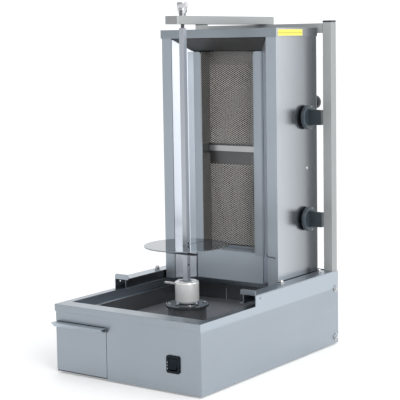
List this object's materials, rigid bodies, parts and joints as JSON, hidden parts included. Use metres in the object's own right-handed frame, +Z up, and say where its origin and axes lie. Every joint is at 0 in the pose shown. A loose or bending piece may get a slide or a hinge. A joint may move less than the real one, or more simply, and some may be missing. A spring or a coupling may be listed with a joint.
{
  "type": "vertical rotisserie broiler",
  "caption": "Countertop gas rotisserie broiler: a motor-driven vertical spit over a drip pan, with a sliding radiant heater cabinet and a grease drawer.",
  "frame": {"origin": "On the surface it stands on, under the middle of the base box", "axes": "+Z up, +X to the operator's right, -Y towards the operator, who stands at the drawer and switch side"},
  "size_m": [0.4453, 0.65, 0.891],
  "materials": {
    "brushed_stainless": "brushed",
    "polished_stainless": "polished",
    "dark_steel": "heat-darkened",
    "zinc_steel": "zinc plated",
    "chrome_steel": "polished",
    "cup_enamel": "satin, pearl white",
    "motor_paint": "painted grey",
    "black_plastic": "moulded",
    "black_rubber": "matte",
    "ceramic": "porous ceramic",
    "brass": "machined",
    "black_paint": "satin paint"
  },
  "bodies": {
    "base": {"base_front_panel": "brushed_stainless", "base_side_panel_left": "brushed_stainless", "base_side_panel_right": "brushed_stainless", "base_rear_panel": "brushed_stainless", "base_floor_plate": "zinc_steel", "rubber_foot_front": "black_rubber", "rubber_foot_rear": "black_rubber", "top_frame": "brushed_stainless", "drip_pan": "polished_stainless", "flange_gasket": "black_rubber", "motor_flange": "polished_stainless", "flange_screws": "zinc_steel", "gear_motor": "motor_paint", "rail_left": "brushed_stainless", "rail_right": "brushed_stainless", "rail_studs_left": "zinc_steel", "rail_studs_right": "zinc_steel", "switch_bezel": "black_plastic", "cable_gland": "black_plastic", "post_left": "brushed_stainless", "post_right": "brushed_stainless", "crossbar": "brushed_stainless", "post_cap_left": "black_plastic", "post_cap_right": "black_plastic", "post_bolts_left": "zinc_steel", "post_bolts_right": "zinc_steel", "top_arm": "brushed_stainless"},
    "spindle": {"motor_shaft": "chrome_steel", "drive_cup": "cup_enamel", "spit_bar": "brushed_stainless"},
    "clamp": {"clamp_screw": "zinc_steel"},
    "plate": {"meat_plate": "polished_stainless"},
    "clip": {"plate_clip": "zinc_steel"},
    "pin": {"top_pin": "chrome_steel", "pin_knob": "chrome_steel"},
    "drawer": {"drawer_front": "brushed_stainless", "drawer_box": "polished_stainless"},
    "rocker": {"switch_rocker": "black_plastic"},
    "heater": {"heater_side_left": "brushed_stainless", "heater_side_right": "brushed_stainless", "heater_back": "brushed_stainless", "heater_floor": "zinc_steel", "heater_lid": "brushed_stainless", "reflector_left": "polished_stainless", "reflector_right": "polished_stainless", "burner_frame_left": "brushed_stainless", "burner_frame_right": "brushed_stainless", "ceiling_panel": "dark_steel", "apron_panel": "brushed_stainless", "mesh_guard_lower": "dark_steel", "mesh_guard_upper": "dark_steel", "burner_box": "dark_steel", "ceramic_tile_lower": "ceramic", "ceramic_tile_upper": "ceramic", "gas_pipework": "brass", "gas_inlet": "black_paint"},
    "lower_valve": {"valve_cone_lower": "brass"},
    "upper_valve": {"valve_cone_upper": "brass"},
    "lower_knob": {"knob_lower": "black_plastic"},
    "upper_knob": {"knob_upper": "black_plastic"}
  },
  "joints": [
    {"name": "spit_spin", "type": "hinge", "parent": "base", "child": "spindle", "pos_m": [0, -0.065, 0.1525], "axis": [0, 0, 1], "continuous": true},
    {"name": "clamp_turn", "type": "hinge", "parent": "spindle", "child": "clamp", "pos_m": [-0.068, -0.065, 0.197], "axis": [1, 0, 0], "range_deg": [-360, 0]},
    {"name": "plate_lift", "type": "slide", "parent": "spindle", "child": "plate", "axis": [0, 0, 1], "range_m": [0, 0.45]},
    {"name": "clip_pull", "type": "slide", "parent": "spindle", "child": "clip", "axis": [1, 0, 0], "range_m": [0, 0.08]},
    {"name": "pin_lift", "type": "slide", "parent": "base", "child": "pin", "axis": [0, 0, 1], "range_m": [0, 0.028]},
    {"name": "drawer_slide", "type": "slide", "parent": "base", "child": "drawer", "axis": [0, -1, 0], "range_m": [0, 0.2]},
    {"name": "heater_slide", "type": "slide", "parent": "base", "child": "heater", "axis": [0, -1, 0], "range_m": [0, 0.05]},
    {"name": "rocker_tilt", "type": "hinge", "parent": "base", "child": "rocker", "pos_m": [0.139, -0.3063, 0.069], "axis": [1, 0, 0], "range_deg": [0, 22]},
    {"name": "lower_valve_turn", "type": "hinge", "parent": "heater", "child": "lower_valve", "pos_m": [0.145, 0.216, 0.34], "axis": [1, 0, 0], "range_deg": [0, 180]},
    {"name": "lower_knob_push", "type": "slide", "parent": "lower_valve", "child": "lower_knob", "axis": [-1, 0, 0], "range_m": [0, 0.004], "stiffness_N_per_m": 800},
    {"name": "upper_valve_turn", "type": "hinge", "parent": "heater", "child": "upper_valve", "pos_m": [0.145, 0.216, 0.6], "axis": [1, 0, 0], "range_deg": [0, 180]},
    {"name": "upper_knob_push", "type": "slide", "parent": "upper_valve", "child": "upper_knob", "axis": [-1, 0, 0], "range_m": [0, 0.004], "stiffness_N_per_m": 800}
  ]
}
